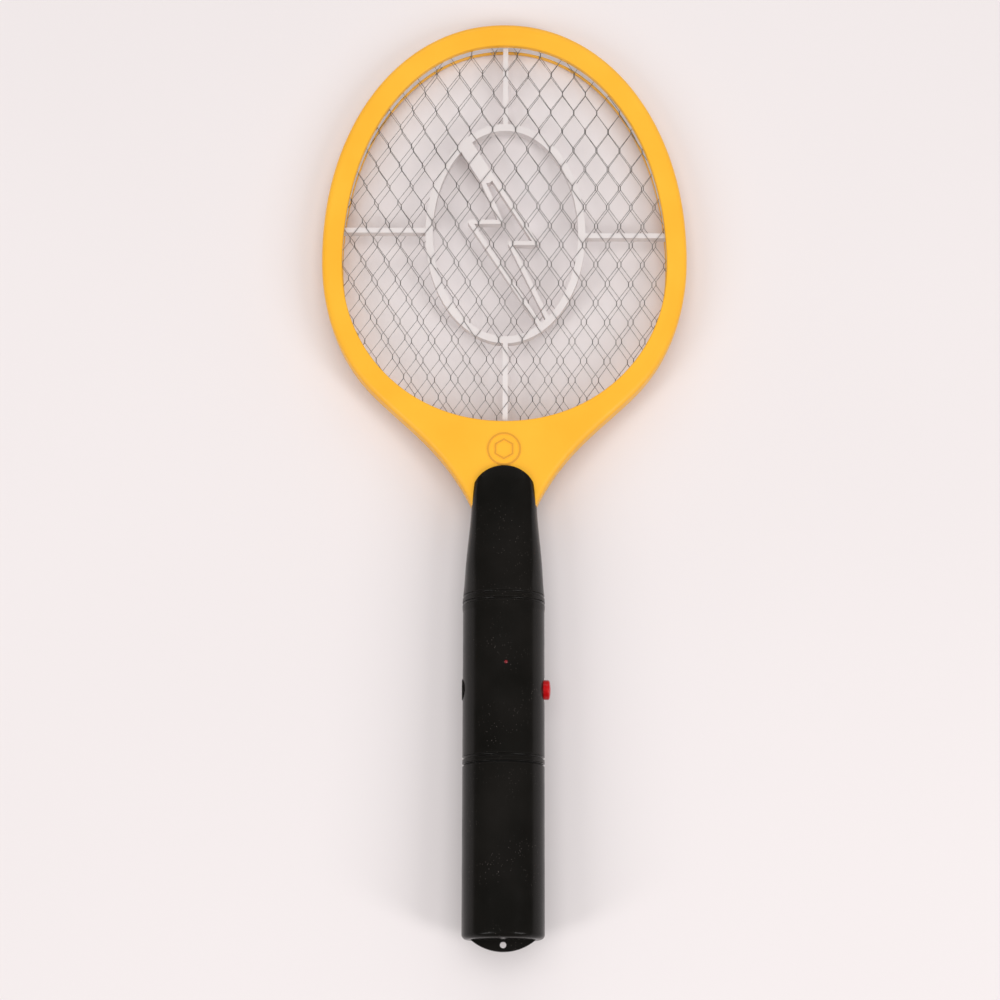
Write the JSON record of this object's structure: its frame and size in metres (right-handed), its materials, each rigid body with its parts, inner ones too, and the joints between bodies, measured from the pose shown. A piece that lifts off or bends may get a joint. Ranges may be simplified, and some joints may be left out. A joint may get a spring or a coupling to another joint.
{
  "type": "electric fly swatter",
  "caption": "Racket-shaped insect swatter with an oval twin metal grid in a plastic frame and a round battery handle with a side push button.",
  "frame": {"origin": "centre of the bounding box in plan, at the underside of the handle", "axes": "+Y along the handle to the tip of the head, +X to the button side, +Z out of the front face"},
  "size_m": [0.1796, 0.46, 0.0398],
  "materials": {
    "yellow_plastic": "moulded ABS, soft satin gloss",
    "white_plastic": "moulded, satin",
    "grid_metal": "expanded sheet, bright cut edges",
    "screw_steel": "zinc plated",
    "black_plastic": "moulded ABS, satin with a fine texture",
    "tray_plastic": "moulded, matt",
    "red_plastic": "moulded, glossy",
    "switch_plastic": "moulded nylon",
    "board_laminate": "paper laminate with solder mask",
    "led_epoxy": "clear tinted epoxy",
    "lead_metal": "tinned wire",
    "ferrite": "sintered ferrite",
    "coil_plastic": "bobbin wrapped in film tape",
    "film_case": "epoxy dipped",
    "disc_coating": "epoxy coated ceramic",
    "diode_case": "moulded epoxy",
    "resistor_coating": "lacquered, with bands",
    "transistor_case": "moulded epoxy",
    "cell_can": "wrapped steel can",
    "contact_metal": "nickel plated",
    "black_insulation": "PVC insulation",
    "red_insulation": "PVC insulation",
    "white_insulation": "silicone insulation"
  },
  "bodies": {
    "racket": {"front_frame": "yellow_plastic", "rear_frame": "yellow_plastic", "frame_screws": "screw_steel", "grid_spacer": "white_plastic", "front_grid": "grid_metal", "rear_grid": "grid_metal", "front_grid_lead": "white_insulation", "rear_grid_lead": "white_insulation", "front_handle_shell": "black_plastic", "rear_handle_shell": "black_plastic", "handle_screws": "screw_steel", "side_plug": "black_plastic", "switch_body": "switch_plastic", "circuit_board": "board_laminate", "indicator_led": "led_epoxy", "led_leads": "lead_metal", "transformer_core": "ferrite", "transformer_coil": "coil_plastic", "film_capacitor": "film_case", "disc_capacitors": "disc_coating", "rectifier_diodes": "diode_case", "resistors": "resistor_coating", "transistor": "transistor_case", "battery_tray": "tray_plastic", "left_battery": "cell_can", "right_battery": "cell_can", "spring_contact": "contact_metal", "plus_contact": "contact_metal", "bridge_contact": "contact_metal", "minus_lead": "black_insulation", "plus_lead": "red_insulation"},
    "button": {"button_cap": "red_plastic", "switch_plunger": "white_plastic"},
    "sleeve": {"battery_sleeve": "black_plastic"}
  },
  "joints": [
    {"name": "button_press", "type": "slide", "parent": "racket", "child": "button", "axis": [-1, 0, 0], "range_m": [0, 0.0015], "stiffness_N_per_m": 800, "springref_m": -0.0005},
    {"name": "sleeve_slide", "type": "slide", "parent": "racket", "child": "sleeve", "axis": [0, -1, 0], "range_m": [0, 0.075]}
  ]
}
